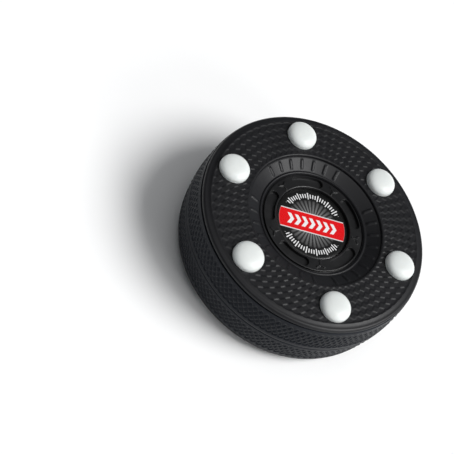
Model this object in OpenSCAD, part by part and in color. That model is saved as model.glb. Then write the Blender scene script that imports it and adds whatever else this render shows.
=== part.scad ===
// Inline hockey puck: two moulded half shells clamped face to face by six pairs of
// snap-together gliders, with a centre cap and a label disc on each side.
// The frame stands on the crowns of the lower gliders, with +Z along the puck's axis.
// Half-thickness sizes are measured from the seam, which is the puck's mid-plane.

/* [Body] */
// Widest diameter, at the seam
puck_d = 76.2; // [75.8:0.1:78]
// Diameter over the rounded lip of each face
lip_d = 74.0; // [73.8:0.1:74.4]
// Thickness over the two gliding faces
body_h = 22.6; // [22.4:0.1:23.4]
// Radius of the rounded lip
lip_r = 0.9; // [0.8:0.05:1.0]
// Depth of the lip's crest below the gliding face
lip_drop = 0.1; // [0.05:0.05:0.2]

/* [Funnel] */
// Diameter at which the gliding face steps down to the funnel
funnel_d = 44.7; // [43.6:0.1:45.2]
// Height of that step
funnel_step = 0.85; // [0.75:0.05:1.0]
// Depth of the funnel's foot below the gliding face
funnel_depth = 2.7; // [2.5:0.05:2.75]
// Radius of the bead round the centre cap
bead_r = 0.45; // [0.35:0.05:0.5]

/* [Gliders] */
// Number of gliders on each face
glider_count = 6; // [6]
// Radius of the circle that the gliders stand on
glider_circle_r = 29.4; // [29.2:0.1:29.6]
// Diameter of a glider's head
glider_d = 9.6; // [9:0.1:9.8]
// Height of a head above the gliding face
glider_proud = 2.7; // [2.4:0.05:3.2]
// Diameter of the flat crown that the puck rests on
crown_d = 2.4; // [2:0.1:2.8]
// Diameter of a glider's stem
stem_d = 4.8; // [4.6:0.1:5.2]

/* [Centre cap] */
// Diameter of the cap
cap_d = 34.0; // [33.6:0.1:34]
// Depth of the cap's ring below the gliding face
cap_drop = 2.6; // [2.5:0.05:2.75]
// Diameter of the well that holds the label
well_d = 24.9; // [24.4:0.1:25.2]
// Depth of the well's floor below the ring
well_depth = 1.25; // [1.1:0.05:1.3]
// Number of arc slots in the ring
slot_count = 5; // [5]
// Angle that one slot spans between the centres of its round ends
slot_span = 30; // [26:1:34]
// Angle of the first slot from the first glider
slot_start = -14; // [-14]
// Depth of the slots
slot_depth = 1.0; // [0.7:0.1:1.1]

/* [Label] */
// Diameter of the label disc
label_d = 24.6; // [24:0.1:24.6]
// Thickness of the label disc
label_t = 0.2; // [0.15:0.05:0.25]

/* [Inside] */
// Depth of the pockets that core out each shell
pocket_depth = 6.2; // [5:0.1:6.6]
// Thickness of the ribs between the pockets
rib_t = 2.2; // [1.8:0.1:3]
// Wall thickness round each glider's bore
boss_wall = 2.6; // [2.2:0.1:3]
// Clearance round every plugged or seated piece
fit_gap = 0.05; // [0.04:0.01:0.1]

/* [Hidden] */
$fn = 96;
rounding = 8;
puck_r = puck_d / 2;
seam_chamfer = 0.15;
face_z = body_h / 2;
mid_z = face_z + glider_proud;

// Lip round each face, and the groove under it
lip_z = face_z - lip_drop - lip_r;
lip_c = lip_d / 2 - lip_r;
face_edge_r = lip_c - 1.35;
face_edge_w = 0.12;
lip_groove_r = lip_d / 2 - 0.3;
lip_groove_top_z = lip_z - 0.5;
lip_groove_end_z = lip_z - 0.65;

// The wall swells from its end radius under the lip to the full radius at the seam
wall_end_r = lip_d / 2 + 0.25;
wall_top_z = lip_z - 0.75;
function wall_r(z) = puck_r - (puck_r - wall_end_r) * pow(z / wall_top_z, 2);

// Funnel between the gliding face and the bead round the cap
funnel_r = funnel_d / 2;
funnel_top_r = funnel_r - 0.3;
funnel_top_z = face_z - funnel_step;
funnel_foot_z = face_z - funnel_depth;
edge_round = 0.45;
cap_r = cap_d / 2;
cap_z = face_z - cap_drop;
seat_z = cap_z - 3.5;
bead_c = cap_r + fit_gap + bead_r + 0.15;
bead_z = cap_z - 0.25;
funnel_foot_r = bead_c + bead_r + 0.1;
well_z = cap_z - well_depth;

// Tongue on the lower shell and groove in the upper one
tongue_r = 34.4;
tongue_w = 1.0;
tongue_h = 1.0;
tongue_root = 0.5;
tongue_gap = 0.1;
pocket_in_r = 20;
pocket_out_r = 33;

// Heads, stems and snap pins of the gliders
head_r = glider_d / 2;
head_sink = 0.5;
head_side = 0.4;
head_power = 2.4;
head_step_angle = 6;
stem_r = stem_d / 2;
half_gap = 0.15;
pin_r = 1.4;
pin_reach = 7.8;
pin_barb_reach = 5.8;
pin_barb = 0.28;
pin_groove = 0.35;
pin_socket_end_z = 8.2;

// Hub of the centre caps, with its snap pin
hub_r = 4.0;
hub_pin_r = 2.2;
hub_pin_reach = 5.9;
hub_barb_reach = 4.6;
hub_barb = 0.33;
hub_groove = 0.4;
hub_socket_end_z = 6.2;

// Every snap pin has this tip and barb, and its socket this groove
tip_h = 0.8;
tip_taper = 0.4;
barb_h = 1.2;
groove_h = 1.6;
groove_lead = 1.4;

// Stepped rim, slots, marks, recess and key of the centre caps
rim_step_w = 0.45;
rim_step_h = 0.7;
slot_in_r = 13.0;
slot_out_r = 16.1;
mark_r = 14.6;
mark_arm = 1.4;
mark_w = 0.6;
mark_h = 0.35;
recess_in_r = 6.0;
recess_out_r = 15.0;
recess_depth = 1.2;
key_w = 2.4;
key_h = 1.0;
key_in_r = 14.8;
key_out_r = 16.6;

// Overlap that joins solids, and how far cutters run past a surface
merge = 0.1;
clear = 1;

body_black = [0.13, 0.13, 0.14];
cap_black = [0.09, 0.09, 0.1];
glider_white = [0.93, 0.93, 0.92];
label_grey = [0.42, 0.42, 0.43];

// Points along an arc about c, from angle a0 to a1
function arc(c, r, a0, a1, n = rounding) =
    [for (i = [0:n]) let (a = a0 + (a1 - a0) * i / n) [c[0] + r * cos(a), c[1] + r * sin(a)]];

// A ring with a rectangular section, in a half shell's own heights
module ring(r0, r1, z0, z1) {
    rotate_extrude() translate([r0, z0]) square([r1 - r0, z1 - z0]);
}

// Puts a half that is drawn above the seam on the upper side
module on_top() {
    translate([0, 0, mid_z]) children();
}

// Turns it over about X on to the lower side
module underneath() {
    translate([0, 0, mid_z]) rotate([180, 0, 0]) children();
}

// Puts its children at glider number i
module at_glider(i) {
    rotate([0, 0, (i - 1) * 360 / glider_count]) translate([glider_circle_r, 0, 0]) children();
}

// Outline of a half shell, from the hub hole out over the face and down the wall
function shell_outline() = concat(
    [[hub_r + fit_gap, 0], [hub_r + fit_gap, seat_z]],
    [[cap_r + fit_gap, seat_z], [cap_r + fit_gap, bead_z]],
    arc([bead_c, bead_z], bead_r, 180, 20),
    [[funnel_foot_r, funnel_foot_z], [funnel_top_r, funnel_top_z], [funnel_r, funnel_top_z]],
    arc([funnel_r + edge_round, face_z - edge_round], edge_round, 180, 90, 5),
    [[face_edge_r, face_z], [face_edge_r + face_edge_w, face_z - lip_drop]],
    arc([lip_c, lip_z], lip_r, 90, -28, 12),
    [[lip_groove_r, lip_groove_top_z], [lip_groove_r, lip_groove_end_z]],
    [for (i = [0:rounding]) let (z = wall_top_z + (seam_chamfer - wall_top_z) * i / rounding)
        [wall_r(z), z]],
    [[puck_r - seam_chamfer, 0]]
);

// Six pockets between the glider bosses, open at the seam
module pockets() {
    difference() {
        ring(pocket_in_r, pocket_out_r, -clear, pocket_depth);
        for (i = [1:glider_count]) {
            at_glider(i) translate([0, 0, -2 * clear])
                cylinder(r = stem_r + boss_wall, h = pocket_depth + 3 * clear);
            rotate([0, 0, (i - 0.5) * 360 / glider_count])
                translate([pocket_in_r - clear, -rib_t / 2, -2 * clear])
                    cube([pocket_out_r - pocket_in_r + 2 * clear, rib_t, pocket_depth + 3 * clear]);
        }
    }
}

// Bore and head recess for one glider
module glider_bore() {
    translate([0, 0, -clear]) cylinder(r = stem_r + fit_gap, h = face_z + 2 * clear);
    translate([0, 0, face_z - head_sink]) cylinder(r = head_r + fit_gap, h = head_sink + clear);
}

// Notch in the cap's seat that stops the cap turning
module key_notch() {
    translate([key_in_r - fit_gap, -key_w / 2 - fit_gap, seat_z - key_h - fit_gap])
        cube([cap_r + fit_gap - key_in_r, key_w + 2 * fit_gap, key_h + clear]);
}

// One half shell, drawn above the seam
module half_shell() {
    difference() {
        rotate_extrude() polygon(shell_outline());
        pockets();
        for (i = [1:glider_count]) at_glider(i) glider_bore();
        key_notch();
    }
}

module upper_shell() {
    color(body_black) on_top() difference() {
        half_shell();
        ring(tongue_r - tongue_gap, tongue_r + tongue_w + tongue_gap, -clear, tongue_h + tongue_gap);
    }
}

module lower_shell() {
    color(body_black) underneath() union() {
        half_shell();
        ring(tongue_r, tongue_r + tongue_w, -tongue_h, tongue_root);
    }
}

// Pin that passes the seam, with a tapered tip and a barb
module snap_pin(r, reach, barb_reach, barb) {
    translate([0, 0, tip_h - reach]) cylinder(r = r, h = reach);
    translate([0, 0, -reach]) cylinder(r1 = r - tip_taper, r2 = r, h = tip_h);
    translate([0, 0, -barb_reach]) cylinder(r1 = r, r2 = r + barb, h = barb_h);
}

// Socket for such a pin, with the groove that its barb snaps into
module snap_socket(r, end_z, barb_reach, groove) {
    cylinder(r = r + fit_gap, h = end_z);
    translate([0, 0, barb_reach - groove_lead]) cylinder(r = r + groove, h = groove_h);
}

// Domed head of a glider, drawn above the seam; its crown is flat
function head_outline() = concat(
    [[0, face_z - head_sink], [head_r, face_z - head_sink]],
    [for (a = [0:head_step_angle:90 - head_step_angle])
        let (r = head_r * pow(cos(a), 2 / head_power),
             z = (glider_proud - head_side) * pow(sin(a), 2 / head_power))
        if (r > crown_d / 2 + merge) [r, face_z + head_side + z]],
    [[crown_d / 2, face_z + glider_proud], [0, face_z + glider_proud]]
);

// Head and stem, down to the seam
module glider_stud() {
    rotate_extrude() polygon(head_outline());
    translate([0, 0, half_gap]) cylinder(r = stem_r, h = face_z - head_sink - half_gap + merge);
}

// Upper glider: its hollow stem takes the lower glider's pin
module socket_glider() {
    difference() {
        glider_stud();
        snap_socket(pin_r, pin_socket_end_z, pin_barb_reach, pin_groove);
    }
}

// Lower glider: its pin passes the seam and snaps into the upper glider
module pin_glider() {
    glider_stud();
    snap_pin(pin_r, pin_reach, pin_barb_reach, pin_barb);
}

module upper_glider(i) {
    color(glider_white) on_top() at_glider(i) socket_glider();
}

module lower_glider(i) {
    color(glider_white) underneath() at_glider(i) pin_glider();
}

// One arc slot with round ends, centred on angle 0
module arc_slot() {
    slot_mid_r = (slot_in_r + slot_out_r) / 2;
    slot_w = slot_out_r - slot_in_r;
    rotate([0, 0, -slot_span / 2]) rotate_extrude(angle = slot_span)
        translate([slot_in_r, cap_z - slot_depth]) square([slot_w, slot_depth + clear]);
    for (side = [-1, 1]) rotate([0, 0, side * slot_span / 2])
        translate([slot_mid_r, 0, cap_z - slot_depth]) cylinder(d = slot_w, h = slot_depth + clear);
}

// Raised mark of three plain arms, between two slots
module three_arm_mark() {
    translate([mark_r, 0, cap_z - merge]) for (a = [60, 180, 300])
        rotate([0, 0, a]) translate([0, -mark_w / 2, 0]) cube([mark_arm, mark_w, mark_h + merge]);
}

// Plate of the centre cap, drawn above the seam, with its hub and key
module cap_plate() {
    slot_pitch = 360 / slot_count;
    difference() {
        union() {
            ring(0, cap_r, seat_z, cap_z);
            translate([0, 0, half_gap]) cylinder(r = hub_r, h = seat_z - half_gap + merge);
            translate([key_in_r, -key_w / 2, seat_z - key_h])
                cube([key_out_r - key_in_r, key_w, key_h + merge]);
            for (i = [0:slot_count - 1])
                rotate([0, 0, slot_start + (i + 0.5) * slot_pitch]) three_arm_mark();
        }
        translate([0, 0, well_z]) cylinder(d = well_d, h = well_depth + clear);
        ring(cap_r - rim_step_w, cap_r + clear, cap_z - rim_step_h, cap_z + clear);
        ring(recess_in_r, recess_out_r, seat_z - clear, seat_z + recess_depth);
        for (i = [0:slot_count - 1]) rotate([0, 0, slot_start + i * slot_pitch]) arc_slot();
    }
}

module upper_centre_cap() {
    color(cap_black) on_top() difference() {
        cap_plate();
        snap_socket(hub_pin_r, hub_socket_end_z, hub_barb_reach, hub_groove);
    }
}

module lower_centre_cap() {
    color(cap_black) underneath() union() {
        cap_plate();
        snap_pin(hub_pin_r, hub_pin_reach, hub_barb_reach, hub_barb);
    }
}

// Printed disc stuck in the well
module label_disc() {
    translate([0, 0, well_z]) cylinder(d = label_d, h = label_t);
}

module upper_label() {
    color(label_grey) on_top() label_disc();
}

module lower_label() {
    color(label_grey) underneath() label_disc();
}

upper_shell();
lower_shell();
upper_centre_cap();
lower_centre_cap();
upper_label();
lower_label();
for (i = [1:glider_count]) {
    upper_glider(i);
    lower_glider(i);
}
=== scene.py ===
"""Looks of the inline hockey puck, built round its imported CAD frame.

Each half is drawn in millimetres above the puck's seam, then put on the upper side or turned
over on to the lower one. The relief is all mesh: the raised squares of the gliding faces, the
knurled wall, the ribs in the funnels, and the slots and marks of the centre caps.
"""

import math

import bmesh
import bpy
import numpy as np
from mathutils import Matrix, Vector


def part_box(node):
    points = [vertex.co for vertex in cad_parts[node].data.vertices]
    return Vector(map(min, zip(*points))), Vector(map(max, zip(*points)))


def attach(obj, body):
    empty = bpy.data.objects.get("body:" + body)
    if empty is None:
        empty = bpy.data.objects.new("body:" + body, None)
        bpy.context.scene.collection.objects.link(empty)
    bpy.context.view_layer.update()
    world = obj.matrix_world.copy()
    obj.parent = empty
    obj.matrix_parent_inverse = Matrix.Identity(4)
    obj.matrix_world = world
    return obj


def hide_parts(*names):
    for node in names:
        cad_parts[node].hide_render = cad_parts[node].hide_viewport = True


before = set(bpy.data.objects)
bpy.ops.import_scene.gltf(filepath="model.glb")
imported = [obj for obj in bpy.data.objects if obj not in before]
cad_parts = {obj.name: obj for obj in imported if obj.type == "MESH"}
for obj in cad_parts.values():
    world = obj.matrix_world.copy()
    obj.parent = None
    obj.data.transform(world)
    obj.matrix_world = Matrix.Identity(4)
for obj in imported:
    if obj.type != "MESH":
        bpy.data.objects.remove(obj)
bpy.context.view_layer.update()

MM = 0.001
BODY = "root"


# ---------------------------------------------------------------- sizes, in mm

def low_high(node):
    """Corners of a CAD node in mm, as two arrays."""
    return [np.array(corner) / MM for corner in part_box(node)]


shell_low, shell_high = low_high("upper_shell")
label_low, label_high = low_high("upper_label")
glider_low, glider_high = low_high("upper_glider_1")
cap_high = low_high("upper_centre_cap")[1]
pin_high = low_high("lower_glider_1")[1]
hub_high = low_high("lower_centre_cap")[1]

SEAM_Z = shell_low[2]
PUCK_R = shell_high[0]
FACE_Z = shell_high[2] - SEAM_Z
HEAD_R = (glider_high[1] - glider_low[1]) / 2
CROWN_Z = glider_high[2] - SEAM_Z
GLIDER_RING_R = (glider_high[0] + glider_low[0]) / 2
CAP_R = cap_high[0]
LABEL_R = label_high[0]
LABEL_Z = label_low[2] - SEAM_Z
LABEL_T = label_high[2] - label_low[2]
PIN_REACH = pin_high[2] - SEAM_Z
HUB_REACH = hub_high[2] - SEAM_Z
HALF_GAP = glider_low[2] - SEAM_Z

GLIDERS = 6
FIT_GAP = 0.05
CUT_PAST = 2.0
FLAT_ENOUGH = 1e-4

# Points round a row of the lathed meshes. Where two rows meet, one number has to be a whole
# number of times the other, or the mesh has gaps there
HUB_HOLE_POINTS = 60
STEM_POINTS = 48
HEAD_POINTS = 96
CAP_HUB_POINTS = 90
SEAT_POINTS = 180
ROUND_POINTS = 360
FACE_POINTS = 720
CAP_POINTS = 1080
GROOVE_POINTS = 120
WALL_POINTS = 240

# Section of a half shell
LIP_R = 0.9
LIP_CENTRE = (36.1, FACE_Z - 0.1 - LIP_R)
LIP_ARC = (90, -28, 12)
LIP_GROOVE_R = 36.7
LIP_GROOVE_DROP = (0.5, 0.65)
FACE_EDGE = ((34.766, FACE_Z), (34.87, FACE_Z - 0.13))
WALL_END_R = 37.25
WALL_TOP = LIP_CENTRE[1] - 0.75
SEAM_CHAMFER = 0.15
FUNNEL_R = 22.35
FUNNEL_STEP = 0.85
FUNNEL_ROWS = 14
FUNNEL_FOOT_Z = FACE_Z - 2.7
EDGE_ROUND = 0.45
BEAD_R = 0.45
BEAD_ARC = (180, 20, 8)
BEAD_CENTRE = CAP_R + FIT_GAP + BEAD_R + 0.15
FUNNEL_FOOT_R = BEAD_CENTRE + BEAD_R + 0.1
FUNNEL_TOP_R = FUNNEL_R - 0.3
CAP_Z = FACE_Z - 2.6
BEAD_Z = CAP_Z - 0.25
SEAT_Z = CAP_Z - 3.5
HUB_R = 4.0
TONGUE = (34.4, 35.4)
TONGUE_H = 1.0
TONGUE_GAP = 0.1

# Gliding face: raised and sunken squares, turned 45 degrees, with steep edges between
CHECKS_ROUND = 72
CHECK_PITCH = 2.44
CHECK_FIRST_R = 25.25
CHECK_ROWS = (-8, 37)
CHECK_STEPS = 10
CHECK_RELIEF = 0.13
CHECK_SLOPE = 3.24
HEAD_COLLAR = 0.4

# Diamond knurl of the wall
KNURLS_ROUND = 120
KNURL_PITCH = 2.7
KNURL_STEPS = 10
KNURL_ROWS = (5, 31)
KNURL_DEPTH = 0.36
KNURL_HALF_LINE = 0.3
KNURL_FLANK = 1.25

# Groups of short ribs in the funnel: first angle, last angle, number
RIB_GROUPS = ((28, 96, 7), (132, 228, 9), (248, 344, 9))
RIB_SPAN = (18.75, 21.45)
RIB_HALF_WIDTH = 0.42
RIB_HEIGHT = 0.3
RIB_END_SOFT = 0.15
RIB_SIDE_SOFT = 0.12

# Centre cap
SLOT_COUNT = 5
SLOT_START = math.radians(-14)
SLOT_HALF_SPAN = math.radians(15)
SLOT_MID_R = 14.55
SLOT_HALF_WIDTH = 1.55
SLOT_SIDE = (-0.12, 0.04)
SLOT_DEPTH = 1.0
MARK_R = 14.6
MARK_ARM = 1.4
MARK_LEANS = (60, 180, 300)
MARK_HALF_WIDTH = 0.3
MARK_SIDE = (-0.1, 0.08)
MARK_HEIGHT = 0.35
RIM_R = CAP_R - 0.45
RIM_Z = CAP_Z - 0.7
RIM_ROUND = 0.15
WELL_R = 12.45
WELL_ROUND = 0.25
RING_SPAN = (WELL_R + 0.34, RIM_R - 0.22)
RING_ROWS = 40
RECESS = (6.0, 15.0)
RECESS_DEPTH = 1.2

# Rings of the label's top
LABEL_RINGS = (4, 8, 11)

# Gliders
HEAD_SINK = 0.5
HEAD_SIDE = 0.4
HEAD_POWER = 2.4
DOME_FROM = 88.5
DOME_ROWS = 34
STEM_R = 2.4

# Snap pins and their sockets. A barb or groove is its start and end, and how far it stands out
TIP_H = 0.8
TIP_TAPER = 0.4
PIN_R = 1.4
PIN_BARB = (4.6, 5.8, 0.28)
PIN_GROOVE = (4.4, 6.0, 0.35)
PIN_SOCKET_END = 8.2
HUB_PIN_R = 2.2
HUB_BARB = (3.4, 4.6, 0.33)
HUB_GROOVE = (3.2, 4.8, 0.4)
HUB_SOCKET_END = 6.2


# ---------------------------------------------------------------- mesh helpers

def smooth(value, start, end):
    """0 before start, 1 after end, with a smooth slope between."""
    t = np.clip((value - start) / (end - start), 0, 1)
    return t * t * (3 - 2 * t)


def window(value, start, full, fading, end):
    """Rises from start to full and falls from fading to end."""
    return smooth(value, start, full) * (1 - smooth(value, fading, end))


def turned(angle, about):
    """angle measured from about, between -pi and pi."""
    return (angle - about + math.pi) % (2 * math.pi) - math.pi


def arc(centre, radius, start, end, steps):
    """Points (r, z) along an arc, with angles in degrees."""
    angles = np.radians(np.linspace(start, end, steps + 1))
    return [(centre[0] + radius * math.cos(a), centre[1] + radius * math.sin(a)) for a in angles]


def rings(outline, count):
    """Plain rows of a lathed mesh through the points (r, z) of an outline."""
    return [ring(r, z, count) for r, z in outline]


def ring(r, z, count):
    """One row of a lathed mesh. r and z are numbers, or functions of the angle."""
    angle = np.arange(count) * 2 * math.pi / count
    radius = r(angle) if callable(r) else np.full(count, float(r))
    height = z(angle) if callable(z) else np.full(count, float(z))
    return np.column_stack([radius * np.cos(angle), radius * np.sin(angle), height])


def between(first, second, at_first, at_second):
    """Faces between two rows, where one row may have a whole number of times more points."""
    n, m = len(first), len(second)
    if n == m:
        return split_quads(first, second, at_first, at_second)
    few = min(n, m)
    assert max(n, m) % few == 0, f"rows of {n} and {m} points would leave gaps"
    faces = []
    for i in range(few):
        inner = [at_first + (i * n // few + k) % n for k in range(n // few + 1)]
        outer = [at_second + (i * m // few + k) % m for k in range(m // few + 1)]
        faces.append(inner[:1] + outer + inner[:0:-1])
    return faces


def split_quads(first, second, at_first, at_second):
    """Quads between two equal rows. One that isn't flat is split along its shorter diagonal."""
    count = len(first)
    after = (np.arange(count) + 1) % count
    down = np.linalg.norm(second[after] - first, axis=1)
    up = np.linalg.norm(first[after] - second, axis=1)
    faces = []
    for i in range(count):
        j = int(after[i])
        a, b, c, d = at_first + i, at_second + i, at_second + j, at_first + j
        if abs(down[i] - up[i]) < FLAT_ENOUGH:
            faces.append([a, b, c, d])
        elif down[i] < up[i]:
            faces += [[a, b, c], [a, c, d]]
        else:
            faces += [[a, b, d], [b, c, d]]
    return faces


def fan(pole, row, at_pole, at_row, first):
    """Triangles from a pole to a row; first says that the pole comes before the row."""
    count = len(row)
    faces = []
    for i in range(count):
        a, b = at_row + i, at_row + (i + 1) % count
        faces.append([at_pole, a, b] if first else [at_pole, b, a])
    return faces


def lathe(name, rows, closed=False):
    """A mesh through rows that run outwards over the top, down the side and back underneath."""
    starts = np.cumsum([0] + [len(row) for row in rows])
    faces = []
    pairs = list(zip(range(len(rows) - 1), range(1, len(rows))))
    if closed:
        pairs.append((len(rows) - 1, 0))
    for i, j in pairs:
        a, b = rows[i], rows[j]
        if len(a) == 1:
            faces += fan(a, b, int(starts[i]), int(starts[j]), True)
        elif len(b) == 1:
            faces += fan(b, a, int(starts[j]), int(starts[i]), False)
        else:
            faces += between(a, b, int(starts[i]), int(starts[j]))
    mesh = bpy.data.meshes.new(name)
    mesh.from_pydata(np.vstack(rows).tolist(), [], faces)
    mesh.update()
    return mesh


def add_object(name, mesh):
    obj = bpy.data.objects.new(name, mesh)
    bpy.context.scene.collection.objects.link(obj)
    return obj


UPPER = Matrix.Translation((0, 0, SEAM_Z * MM)) @ Matrix.Scale(MM, 4)
LOWER = UPPER @ Matrix.Rotation(math.pi, 4, "X")
SIDES = {"upper": UPPER, "lower": LOWER}


def place(name, mesh, side, sharp_angle):
    """Turns a mesh drawn in half coordinates into a smooth-shaded object on that side."""
    mesh.transform(SIDES[side])
    mesh.shade_smooth()
    mesh.set_sharp_from_angle(angle=math.radians(sharp_angle))
    return add_object(name, mesh)


def cut(mesh, cutters):
    """mesh with the cutter meshes taken away."""
    body = add_object("cut_body", mesh)
    joined = bmesh.new()
    for cutter in cutters:
        joined.from_mesh(cutter)
        bpy.data.meshes.remove(cutter)
    tool_mesh = bpy.data.meshes.new("cut_tool")
    joined.to_mesh(tool_mesh)
    joined.free()
    tool = add_object("cut_tool", tool_mesh)
    difference = body.modifiers.new("difference", "BOOLEAN")
    difference.operation = "DIFFERENCE"
    difference.solver = "MANIFOLD"
    difference.object = tool
    seen = body.evaluated_get(bpy.context.evaluated_depsgraph_get())
    result = bpy.data.meshes.new_from_object(seen)
    for obj, old in ((body, mesh), (tool, tool_mesh)):
        bpy.data.objects.remove(obj)
        bpy.data.meshes.remove(old)
    return result


# ---------------------------------------------------------------- shells

def glider_centres():
    for i in range(GLIDERS):
        a = 2 * math.pi * i / GLIDERS
        yield GLIDER_RING_R * math.cos(a), GLIDER_RING_R * math.sin(a)


def flat_wave(phase):
    """A wave between -1 and 1 with wide flats and steep flanks."""
    return np.clip(CHECK_SLOPE * np.cos(phase), -1, 1)


def face_height(r):
    """Height of the gliding face along the row of radius r."""
    out = 2 * math.pi * (r - CHECK_FIRST_R) / CHECK_PITCH

    def height(angle):
        x, y = r * np.cos(angle), r * np.sin(angle)
        nearest = np.min([np.hypot(x - cx, y - cy) for cx, cy in glider_centres()], axis=0)
        collar = smooth(nearest, HEAD_R + 0.1, HEAD_R + HEAD_COLLAR)
        round_phase = CHECKS_ROUND * angle
        squares = flat_wave((round_phase + out) / 2) * flat_wave((round_phase - out) / 2)
        return FACE_Z - CHECK_RELIEF / 2 * (1 - squares * collar)
    return height


def rib_relief(r):
    """Height of the funnel's ribs above its cone, along the row of radius r."""
    ends = [end + soft for end in RIB_SPAN for soft in (-RIB_END_SOFT, RIB_END_SOFT)]
    along = window(r, *ends)

    def relief(angle):
        height = np.zeros_like(angle)
        for first, last, number in RIB_GROUPS:
            for degrees in np.linspace(first, last, number):
                across = np.abs(turned(angle, math.radians(degrees))) * r - RIB_HALF_WIDTH
                height = np.maximum(height, 1 - smooth(across, -RIB_SIDE_SOFT, RIB_SIDE_SOFT))
        return RIB_HEIGHT * along * height
    return relief


def funnel_height(r):
    """Height of the funnel along the row of radius r."""
    share = (r - FUNNEL_FOOT_R) / (FUNNEL_TOP_R - FUNNEL_FOOT_R)
    cone = FUNNEL_FOOT_Z + (FACE_Z - FUNNEL_STEP - FUNNEL_FOOT_Z) * share
    ribs = rib_relief(r)
    return lambda angle: cone + ribs(angle)


def plain_wall(z):
    """Radius of the swelling wall at height z."""
    return PUCK_R - (PUCK_R - WALL_END_R) * (z / WALL_TOP) ** 2


def knurled_wall(z):
    """Radius of the wall along the row at height z, cut by the crossing grooves of the knurl."""
    def radius(angle):
        across = KNURLS_ROUND * angle / (2 * math.pi)
        up = z / KNURL_PITCH
        groove = np.zeros_like(angle)
        for lean in (across + up, across - up):
            off_line = np.abs(lean - np.round(lean))
            depth = KNURL_FLANK * (1 - off_line / KNURL_HALF_LINE)
            groove = np.maximum(groove, np.clip(depth, 0, 1))
        return plain_wall(z) - KNURL_DEPTH * groove
    return radius


def face_rows():
    """Rows of one half, from its hub hole out over the funnel, the gliding face and the lip."""
    rows = rings([(HUB_R + FIT_GAP, 0), (HUB_R + FIT_GAP, SEAT_Z)], HUB_HOLE_POINTS)
    rows.append(ring(CAP_R + FIT_GAP, SEAT_Z, SEAT_POINTS))
    rows.append(ring(CAP_R + FIT_GAP, BEAD_Z, ROUND_POINTS))
    rows += rings(arc((BEAD_CENTRE, BEAD_Z), BEAD_R, *BEAD_ARC), ROUND_POINTS)
    for r in np.linspace(FUNNEL_FOOT_R, FUNNEL_TOP_R, FUNNEL_ROWS):
        rows.append(ring(r, funnel_height(r), FACE_POINTS))
    rows.append(ring(FUNNEL_R, FACE_Z - FUNNEL_STEP, FACE_POINTS))
    edge = (FUNNEL_R + EDGE_ROUND, FACE_Z - EDGE_ROUND)
    rows += rings(arc(edge, EDGE_ROUND, 180, 90, 5), FACE_POINTS)
    step = CHECK_PITCH / CHECK_STEPS
    for k in range(CHECK_ROWS[0] - 1, CHECK_ROWS[1] + 2):
        r = CHECK_FIRST_R + k * step
        textured = CHECK_ROWS[0] <= k <= CHECK_ROWS[1]
        rows.append(ring(r, face_height(r) if textured else FACE_Z, FACE_POINTS))
    rows += rings(FACE_EDGE, FACE_POINTS)
    rows += rings(arc(LIP_CENTRE, LIP_R, *LIP_ARC), ROUND_POINTS)
    for drop, count in zip(LIP_GROOVE_DROP, (ROUND_POINTS, GROOVE_POINTS)):
        rows.append(ring(LIP_GROOVE_R, LIP_CENTRE[1] - drop, count))
    return rows


def wall_rows():
    """Rows down the wall, with the knurl between a plain land and the plain middle band."""
    step = KNURL_PITCH / KNURL_STEPS
    count = KNURLS_ROUND * KNURL_STEPS
    low, high = (k * step for k in KNURL_ROWS)
    rows = [ring(plain_wall(z), z, WALL_POINTS) for z in (WALL_TOP, (WALL_TOP + high) / 2)]
    rows.append(ring(plain_wall(high), high, count))
    for k in range(KNURL_ROWS[1] - 1, KNURL_ROWS[0], -1):
        rows.append(ring(knurled_wall(k * step), k * step, count))
    rows.append(ring(plain_wall(low), low, count))
    rows += [ring(plain_wall(z), z, WALL_POINTS) for z in (low - 0.1, low / 2, SEAM_CHAMFER)]
    rows.append(ring(PUCK_R - SEAM_CHAMFER, 0, WALL_POINTS))
    return rows


def shell_rows(side):
    """All rows of a half shell: over the face, down the wall and back along the seam."""
    inner, outer, end = *TONGUE, -TONGUE_H
    if side == "upper":
        inner, outer, end = inner - TONGUE_GAP, outer + TONGUE_GAP, TONGUE_H + TONGUE_GAP
    seam = [(outer, 0), (outer, end), (inner, end), (inner, 0)]
    return face_rows() + wall_rows() + rings(seam, WALL_POINTS)


def glider_cutter(cx, cy):
    """Bore and head recess of one glider."""
    top, floor, bottom = FACE_Z + CUT_PAST, FACE_Z - HEAD_SINK, -CUT_PAST
    head, stem = HEAD_R + FIT_GAP, STEM_R + FIT_GAP
    walls = rings([(head, top), (head, floor), (stem, floor), (stem, bottom)], HEAD_POINTS)
    mesh = lathe("cutter", [ring(0, top, 1), *walls, ring(0, bottom, 1)])
    mesh.transform(Matrix.Translation((cx, cy, 0)))
    return mesh


def build_shell(side):
    mesh = lathe(side + "_shell", shell_rows(side), closed=True)
    mesh = cut(mesh, [glider_cutter(cx, cy) for cx, cy in glider_centres()])
    return place(side + "_shell_moulding", mesh, side, 55)


# ---------------------------------------------------------------- centre caps, labels, gliders

def slot_relief(r, off):
    """Relief of a slot along the row of radius r, off its middle by an angle."""
    past = np.maximum(np.abs(off) - SLOT_HALF_SPAN, 0)
    away = np.hypot(r * np.cos(past) - SLOT_MID_R, r * np.sin(past)) - SLOT_HALF_WIDTH
    return SLOT_DEPTH * (smooth(away, *SLOT_SIDE) - 1)


def mark_relief(r, off):
    """Relief of a mark of three arms along the row of radius r, off its middle by an angle."""
    x, y = r * np.cos(off) - MARK_R, r * np.sin(off)
    relief = np.zeros_like(off)
    for lean in MARK_LEANS:
        c, s = math.cos(math.radians(lean)), math.sin(math.radians(lean))
        along = np.clip(x * c + y * s, 0, MARK_ARM)
        away = np.hypot(x - along * c, y - along * s) - MARK_HALF_WIDTH
        relief = np.maximum(relief, MARK_HEIGHT * (1 - smooth(away, *MARK_SIDE)))
    return relief


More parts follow.
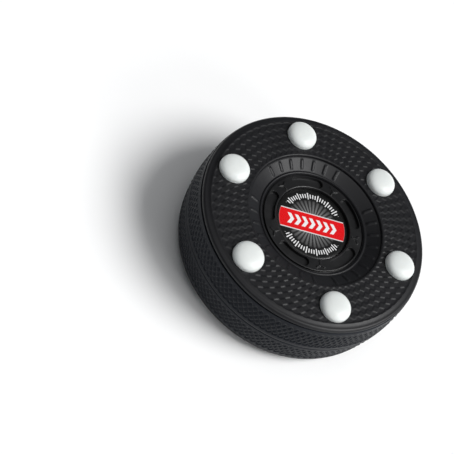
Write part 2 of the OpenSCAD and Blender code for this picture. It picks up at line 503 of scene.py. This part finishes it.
def cap_height(r):
    """Height of the cap's ring along the row of radius r, with its slots and marks."""
    def height(angle):
        relief = np.zeros_like(angle)
        for i in range(SLOT_COUNT):
            slot_angle = SLOT_START + 2 * math.pi * i / SLOT_COUNT
            mark_angle = slot_angle + math.pi / SLOT_COUNT
            relief += slot_relief(r, turned(angle, slot_angle))
            relief += mark_relief(r, turned(angle, mark_angle))
        return CAP_Z + relief
    return height


def socket_rows(pin_r, groove, end, count):
    """Rows of a snap socket, from its mouth near the seam to its blind end."""
    start, stop, depth = groove
    bore = pin_r + FIT_GAP
    outline = [(bore, HALF_GAP), (bore, start), (pin_r + depth, start), (pin_r + depth, stop),
               (bore, stop), (bore, end)]
    return rings(outline, count) + [ring(0, end, 1)]


def pin_rows(pin_r, barb, reach, count):
    """Rows of a snap pin that passes the seam, with a barb and a tapered tip."""
    start, stop, width = barb
    outline = [(pin_r, HALF_GAP), (pin_r, -start), (pin_r + width, -start), (pin_r, -stop),
               (pin_r, TIP_H - reach), (pin_r - TIP_TAPER, -reach)]
    return rings(outline, count) + [ring(0, -reach, 1)]


def cap_rows(side):
    """Rows of a centre cap: over the well, the ring and the rim, and back under it to the hub."""
    rows = [ring(0, LABEL_Z, 1), ring(WELL_R - 0.3, LABEL_Z, SEAT_POINTS)]
    rows += rings([(WELL_R - 0.05, LABEL_Z), (WELL_R, CAP_Z - 0.3)], ROUND_POINTS)
    lip = (WELL_R + WELL_ROUND, CAP_Z - WELL_ROUND)
    rows += rings(arc(lip, WELL_ROUND, 170, 90, 4), ROUND_POINTS)
    rows += [ring(r, cap_height(r), CAP_POINTS) for r in np.linspace(*RING_SPAN, RING_ROWS)]
    edge = (RIM_R - RIM_ROUND, CAP_Z - RIM_ROUND)
    rows += rings(arc(edge, RIM_ROUND, 90, 0, 3) + [(RIM_R, RIM_Z), (CAP_R, RIM_Z)], ROUND_POINTS)
    recess_in, recess_out = RECESS
    recess_z = SEAT_Z + RECESS_DEPTH
    rows += rings([(CAP_R, SEAT_Z), (recess_out, SEAT_Z), (recess_out, recess_z)], SEAT_POINTS)
    under = [(recess_in, recess_z), (recess_in, SEAT_Z), (HUB_R, SEAT_Z), (HUB_R, HALF_GAP)]
    rows += rings(under, CAP_HUB_POINTS)
    if side == "upper":
        return rows + socket_rows(HUB_PIN_R, HUB_GROOVE, HUB_SOCKET_END, CAP_HUB_POINTS)
    return rows + pin_rows(HUB_PIN_R, HUB_BARB, HUB_REACH, CAP_HUB_POINTS)


def build_cap(side):
    return place(side + "_cap_moulding", lathe(side + "_cap", cap_rows(side)), side, 50)


def build_label(side):
    top = LABEL_Z + LABEL_T
    top_rings = [(r, top) for r in LABEL_RINGS]
    edge = [(LABEL_R - 0.08, top), (LABEL_R, top - 0.06), (LABEL_R, LABEL_Z)]
    rows = [ring(0, top, 1), *rings(top_rings + edge, SEAT_POINTS), ring(0, LABEL_Z, 1)]
    mesh = lathe(side + "_label", rows)
    art = mesh.attributes.new("art_place", "FLOAT_VECTOR", "POINT")
    art.data.foreach_set("vector", np.vstack(rows).astype(np.float32).ravel())
    return place(side + "_label_print", mesh, side, 40)


def glider_rows(side):
    """Rows of a glider: over its domed head, down the stem, and its socket or snap pin."""
    dome_z = FACE_Z + HEAD_SIDE
    dome_h = CROWN_Z - dome_z
    rows = [ring(0, CROWN_Z, 1)]
    for a in np.radians(np.linspace(DOME_FROM, 0, DOME_ROWS)):
        r = HEAD_R * math.cos(a) ** (2 / HEAD_POWER)
        rows.append(ring(r, dome_z + dome_h * math.sin(a) ** (2 / HEAD_POWER), HEAD_POINTS))
    floor = FACE_Z - HEAD_SINK
    rows += rings([(HEAD_R, FACE_Z + 0.3), (HEAD_R, floor)], HEAD_POINTS)
    rows += rings([(STEM_R, floor), (STEM_R, HALF_GAP)], STEM_POINTS)
    if side == "upper":
        return rows + socket_rows(PIN_R, PIN_GROOVE, PIN_SOCKET_END, STEM_POINTS)
    return rows + pin_rows(PIN_R, PIN_BARB, PIN_REACH, STEM_POINTS)


def build_glider(side, number):
    mesh = lathe("glider", glider_rows(side))
    turn = Matrix.Rotation(2 * math.pi * (number - 1) / GLIDERS, 4, "Z")
    mesh.transform(turn @ Matrix.Translation((GLIDER_RING_R, 0, 0)))
    return place(f"{side}_glider_{number}_nylon", mesh, side, 50)


# ---------------------------------------------------------------- materials

class Finish:
    """A material with one principled shader, built up node by node."""

    def __init__(self, name):
        self.material = bpy.data.materials.new(name)
        self.material.use_nodes = True
        self.tree = self.material.node_tree
        self.tree.nodes.clear()
        self.shader = self.tree.nodes.new("ShaderNodeBsdfPrincipled")
        output = self.tree.nodes.new("ShaderNodeOutputMaterial")
        self.tree.links.new(self.shader.outputs["BSDF"], output.inputs["Surface"])

    def put(self, socket, value):
        if isinstance(value, bpy.types.NodeSocket):
            self.tree.links.new(value, socket)
        else:
            socket.default_value = value

    def shade(self, **values):
        for name, value in values.items():
            self.put(self.shader.inputs[name.replace("_", " ")], value)

    def node(self, kind, inputs=(), **settings):
        made = self.tree.nodes.new("ShaderNode" + kind)
        for name, value in settings.items():
            setattr(made, name, value)
        for name, value in dict(inputs).items():
            self.put(made.inputs[name], value)
        return made

    def math(self, operation, *values):
        made = self.node("Math", operation=operation)
        for socket, value in zip(made.inputs, values):
            self.put(socket, value)
        return made.outputs[0]

    def millimetres(self):
        """Place on the piece, in mm."""
        place = self.node("TexCoord").outputs["Object"]
        scaled = self.node("VectorMath", {0: place, 3: 1 / MM}, operation="SCALE")
        return scaled.outputs[0]

    def noise(self, place, scale, detail=3.0, roughness=0.55):
        inputs = {"Vector": place, "Scale": scale, "Detail": detail, "Roughness": roughness}
        return self.node("TexNoise", inputs).outputs["Fac"]

    def span(self, value, low, high, to_low, to_high):
        """value from low..high carried to to_low..to_high, and clamped."""
        made = self.node("MapRange", {0: value, 1: low, 2: high, 3: to_low, 4: to_high})
        return made.outputs[0]

    def mix(self, share, first, second):
        made = self.node("Mix", data_type="RGBA")
        self.put(made.inputs[0], share)
        self.put(made.inputs[6], first)
        self.put(made.inputs[7], second)
        return made.outputs[2]

    def bump(self, height, distance, strength=1.0):
        inputs = {"Height": height, "Distance": distance * MM, "Strength": strength}
        return self.node("Bump", inputs).outputs["Normal"]


def grey(value):
    return (value, value, value, 1)


def shell_finish():
    """Fine-grained matte black plastic with faint dust, and raised squares rubbed smoother."""
    f = Finish("shell_plastic")
    place = f.millimetres()
    grain = f.noise(place, 9.0, 4.0, 0.6)
    clouds = f.noise(place, 0.12, 3.0)
    specks = f.span(f.noise(place, 3.4, 2.0), 0.72, 0.76, 0, 1)
    height = f.node("SeparateXYZ", {"Vector": place}).outputs[2]
    flat_place = f.node("VectorMath", {0: place, 1: (1, 1, 0)}, operation="MULTIPLY")
    length = f.node("VectorMath", {0: flat_place.outputs[0]}, operation="LENGTH")
    radius = length.outputs["Value"]
    from_seam = f.math("ABSOLUTE", f.math("SUBTRACT", height, float(SEAM_Z)))
    rubbed = f.span(from_seam, FACE_Z - 0.05, FACE_Z - 0.01, 0, 1)
    patches = f.span(f.noise(place, 0.25, 3.0), 0.45, 0.65, 0, 1)
    worn = f.math("MULTIPLY", rubbed, patches)
    colour = f.mix(clouds, (0.0045, 0.0046, 0.0058, 1), (0.0078, 0.0078, 0.0092, 1))
    below_lip = f.span(from_seam, WALL_TOP + 0.2, WALL_TOP + 0.7, 1, 0)
    outside = f.span(radius, LIP_GROOVE_R - 0.9, LIP_GROOVE_R - 0.5, 0, 1)
    wall = f.math("MULTIPLY", below_lip, outside)
    # Painted reflection: the wall's bluer base colour stands in for a bluish reflection, not the
    # plastic's own colour
    wall_painted_reflection_colour = f.mix(clouds, (0.004, 0.0045, 0.0064, 1), (0.0068, 0.0074, 0.0096, 1))
    colour = f.mix(wall, colour, wall_painted_reflection_colour)
    colour = f.mix(f.math("MULTIPLY", worn, 0.3), colour, grey(0.016))
    even = f.span(f.math("ADD", grain, f.math("MULTIPLY", clouds, 0.6)), 0.5, 1.1, 0.38, 0.5)
    f.shade(
        Base_Color=f.mix(f.math("MULTIPLY", specks, 0.5), colour, grey(0.05)),
        Roughness=f.math("SUBTRACT", even, f.math("MULTIPLY", worn, 0.06)),
        Specular_IOR_Level=f.span(wall, 0, 1, 0.27, 0.15),
        # Painted reflection: the blue specular tint on the wall also stands in for that bluish
        # reflection
        Specular_Tint=f.mix(wall, grey(1), (0.8, 0.88, 1, 1)),
        Normal=f.bump(grain, 0.012, 0.6),
    )
    return f.material


def cap_finish():
    """Smoother, glossier black plastic."""
    f = Finish("cap_plastic")
    place = f.millimetres()
    grain = f.noise(place, 6.0, 3.0)
    clouds = f.noise(place, 0.2, 2.0)
    specks = f.span(f.noise(place, 4.0, 2.0), 0.73, 0.77, 0, 1)
    colour = f.mix(clouds, (0.005, 0.005, 0.0056, 1), (0.008, 0.008, 0.0086, 1))
    f.shade(
        Base_Color=f.mix(f.math("MULTIPLY", specks, 0.4), colour, grey(0.05)),
        Roughness=f.span(clouds, 0.3, 0.7, 0.3, 0.38),
        Specular_IOR_Level=0.42,
        Normal=f.bump(grain, 0.008, 0.4),
    )
    return f.material


def glider_finish():
    """Satin white nylon, a little translucent, with fine sliding scuffs."""
    f = Finish("glider_nylon")
    place = f.millimetres()
    clouds = f.noise(place, 0.5, 3.0)
    along_scuffs = {"Vector": place, "Rotation": (0, 0, 0.6), "Scale": (1.2, 14, 1.2)}
    stretched = f.node("Mapping", along_scuffs).outputs[0]
    scuffs = f.noise(stretched, 1.0, 3.0)
    marks = f.span(scuffs, 0.62, 0.72, 0, 1)
    colour = f.mix(clouds, (0.66, 0.685, 0.67, 1), (0.72, 0.745, 0.73, 1))
    f.shade(
        Base_Color=f.mix(f.math("MULTIPLY", marks, 0.18), colour, (0.56, 0.555, 0.54, 1)),
        Roughness=f.span(scuffs, 0.35, 0.7, 0.34, 0.48),
        Specular_IOR_Level=0.4,
        Subsurface_Weight=0.15,
        Subsurface_Radius=(1.0, 0.9, 0.8),
        Subsurface_Scale=0.6 * MM,
        Normal=f.bump(scuffs, 0.01, 0.4),
    )
    return f.material


# Art of the label, in mm and degrees
ART_TURN = 42
PRINT_R = 11.1
RAYS = 34
RAY_END_R = 8.2
RAY_FADE = (3.0, 8.6)
TICK_STEPS = 36
TICK_HALF_WIDTH = 0.21
TICK_R = 9.75
TICK_REACHES = (0.7, 1.15)
TICK_CLEAR = (5.2, 5.3)
BAND_HALF = 3.2
BAND_EDGE_HALF = 3.5
BAND_RED = (0.66, 0.004, 0.007, 1)
CHEVRON_HALF_PITCH = 1.2
CHEVRON_HALF_HEIGHT = 1.8
CHEVRON_LEAN = 0.6
CHEVRONS_END = 8.4


def label_finish():
    """Glossy printed disc: grey rays, a ring of white ticks, and a red band with chevrons."""
    f = Finish("label_print")
    place = f.node("Attribute", attribute_name="art_place").outputs["Vector"]
    turn = {"Vector": place, "Angle": math.radians(ART_TURN)}
    turned_art = f.node("VectorRotate", turn, rotation_type="Z_AXIS")
    parts = f.node("SeparateXYZ", {"Vector": turned_art.outputs[0]})
    along, across = parts.outputs[0], parts.outputs[1]
    squares = [f.math("MULTIPLY", value, value) for value in (along, across)]
    radius = f.math("SQRT", f.math("ADD", *squares))
    angle = f.math("ARCTAN2", across, along)

    def inside(value, edge, soft=0.08):
        """1 where value is under edge."""
        return f.span(value, edge - soft, edge + soft, 1, 0)

    def both(a, b):
        return f.math("MULTIPLY", a, b)

    def away(value, centre):
        return f.math("ABSOLUTE", f.math("SUBTRACT", value, centre))

    rays = f.math("SINE", f.math("MULTIPLY", angle, RAYS))
    ray_share = f.span(rays, -0.9, 0.8, 0.08, 1)
    ray_fade = f.span(radius, *RAY_FADE, 1, 0.2)
    ray_shape = both(both(ray_share, ray_fade), inside(radius, RAY_END_R, 0.3))
    colour = f.mix(ray_shape, grey(0.006), grey(0.22))

    height = f.math("ABSOLUTE", across)
    around = f.math("MULTIPLY", angle, TICK_STEPS / math.pi)
    tick = inside(f.math("PINGPONG", around, 0.5), TICK_HALF_WIDTH, 0.04)
    long_tick = inside(f.math("PINGPONG", around, 2), 0.5, 0.02)
    tick_reach = f.span(long_tick, 0, 1, *TICK_REACHES)
    tick_band = inside(f.math("SUBTRACT", away(radius, TICK_R), tick_reach), 0, 0.06)
    tick_shape = both(both(tick, tick_band), f.span(height, *TICK_CLEAR, 0, 1))
    colour = f.mix(tick_shape, colour, grey(0.75))

    printed = inside(radius, PRINT_R)
    colour = f.mix(both(inside(height, BAND_EDGE_HALF), printed), colour, grey(0.7))
    colour = f.mix(both(inside(height, BAND_HALF), printed), colour, BAND_RED)
    below_middle = f.math("SUBTRACT", height, CHEVRON_HALF_HEIGHT / 2)
    lean = f.math("ADD", along, f.math("MULTIPLY", below_middle, CHEVRON_LEAN))
    stripe = inside(f.math("PINGPONG", lean, CHEVRON_HALF_PITCH), CHEVRON_HALF_PITCH / 2, 0.05)
    in_row = inside(f.math("ABSOLUTE", lean), CHEVRONS_END)
    chevrons = both(both(stripe, inside(height, CHEVRON_HALF_HEIGHT)), in_row)
    colour = f.mix(chevrons, colour, grey(0.78))

    grain = f.noise(f.millimetres(), 5.0, 3.0)
    f.shade(
        Base_Color=colour,
        Roughness=f.span(grain, 0.3, 0.7, 0.22, 0.32),
        Specular_IOR_Level=0.45,
        Normal=f.bump(grain, 0.006, 0.4),
    )
    return f.material


def floor_finish():
    f = Finish("floor_paper")
    place = f.millimetres()
    mottle = f.noise(place, 0.02, 3.0)
    f.shade(
        Base_Color=f.mix(mottle, grey(0.9), grey(0.93)),
        Roughness=0.85,
        Specular_IOR_Level=0.2,
    )
    return f.material


# ---------------------------------------------------------------- assembly

FLOOR_HALF = 40.0  # metres, so that its edge isn't seen from low down


def dress(obj, material, node):
    obj.data.materials.clear()
    obj.data.materials.append(material)
    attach(obj, BODY)
    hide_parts(node)


def build_puck():
    shell, cap, label, glider = shell_finish(), cap_finish(), label_finish(), glider_finish()
    for side in SIDES:
        dress(build_shell(side), shell, side + "_shell")
        dress(build_cap(side), cap, side + "_centre_cap")
        dress(build_label(side), label, side + "_label")
        for number in range(1, GLIDERS + 1):
            dress(build_glider(side, number), glider, f"{side}_glider_{number}")


def build_floor():
    mesh = bpy.data.meshes.new("floor")
    corners = [(x * FLOOR_HALF, y * FLOOR_HALF, 0) for x, y in ((-1, -1), (1, -1), (1, 1), (-1, 1))]
    mesh.from_pydata(corners, [], [(0, 1, 2, 3)])
    floor = add_object("floor", mesh)
    floor.data.materials.append(floor_finish())


# ---------------------------------------------------------------- camera and light

CAMERA_LENS = 80.7
CAMERA_DISTANCE = 318.1
CAMERA_STANDS = (-166.7, 50.8)
CAMERA_LOOKS = (18.9, -53.2)
CAMERA_ROLL = 39.0
SENSOR_WIDTH = 36.0
CLIP = (0.01, 100.0)

# Name, azimuth and elevation it comes from, width of its disc, all in degrees, and strength
LIGHTS = (
    ("key", 303, 50, 34, 3.2),
    ("strip", 268, 25, 20, 0.7),
    ("top", 0, 89, 50, 0.5),
)

# The backdrop fades between these sines of the elevation, from pale to dim
BACKDROP_FADE = (0.12, 0.32, 0.7, 0.1)
ROOM_COLOUR = (0.92, 0.96, 1.0, 1)


def direction(azimuth, elevation):
    """Unit vector towards an azimuth from +X and an elevation, in degrees."""
    a, e = math.radians(azimuth), math.radians(elevation)
    return Vector((math.cos(a) * math.cos(e), math.sin(a) * math.cos(e), math.sin(e)))


def aim(obj, forward, roll=0.0):
    """Turns a camera or light to look forward, then rolls it about that line."""
    level = forward.cross(Vector((0, 0, 1))).normalized()
    upright = level.cross(forward)
    r = math.radians(roll)
    right = level * math.cos(r) + upright * math.sin(r)
    up = upright * math.cos(r) - level * math.sin(r)
    turn = Matrix((right, up, -forward)).transposed()
    obj.matrix_world = Matrix.Translation(obj.location) @ turn.to_4x4()


def build_camera():
    data = bpy.data.cameras.new("camera")
    data.lens = CAMERA_LENS
    data.sensor_width = SENSOR_WIDTH
    data.clip_start, data.clip_end = CLIP
    camera = bpy.data.objects.new("camera", data)
    bpy.context.scene.collection.objects.link(camera)
    seam_centre = Vector((0, 0, SEAM_Z * MM))
    camera.location = seam_centre + direction(*CAMERA_STANDS) * CAMERA_DISTANCE * MM
    aim(camera, direction(*CAMERA_LOOKS), CAMERA_ROLL)
    bpy.context.scene.camera = camera


def add_light(name, azimuth, elevation, spread, strength):
    """A large soft light, far off in that direction, whose disc is spread degrees wide."""
    data = bpy.data.lights.new(name, "SUN")
    data.angle = math.radians(spread)
    data.energy = strength
    light = bpy.data.objects.new(name, data)
    bpy.context.scene.collection.objects.link(light)
    aim(light, -direction(azimuth, elevation))


def build_world():
    """A dim, slightly cool room with a pale backdrop that ends a little above the horizon."""
    world = bpy.data.worlds.new("studio")
    world.use_nodes = True
    bpy.context.scene.world = world
    tree = world.node_tree
    place = tree.nodes.new("ShaderNodeTexCoord")
    parts = tree.nodes.new("ShaderNodeSeparateXYZ")
    fade = tree.nodes.new("ShaderNodeMapRange")
    for socket, value in zip(list(fade.inputs)[1:5], BACKDROP_FADE):
        socket.default_value = value
    background = tree.nodes["Background"]
    background.inputs["Color"].default_value = ROOM_COLOUR
    tree.links.new(place.outputs["Generated"], parts.inputs[0])
    tree.links.new(parts.outputs[2], fade.inputs[0])
    tree.links.new(fade.outputs[0], background.inputs["Strength"])


build_camera()
build_world()
for light in LIGHTS:
    add_light(*light)
build_floor()
build_puck()
bpy.context.scene.view_settings.view_transform = "Standard"
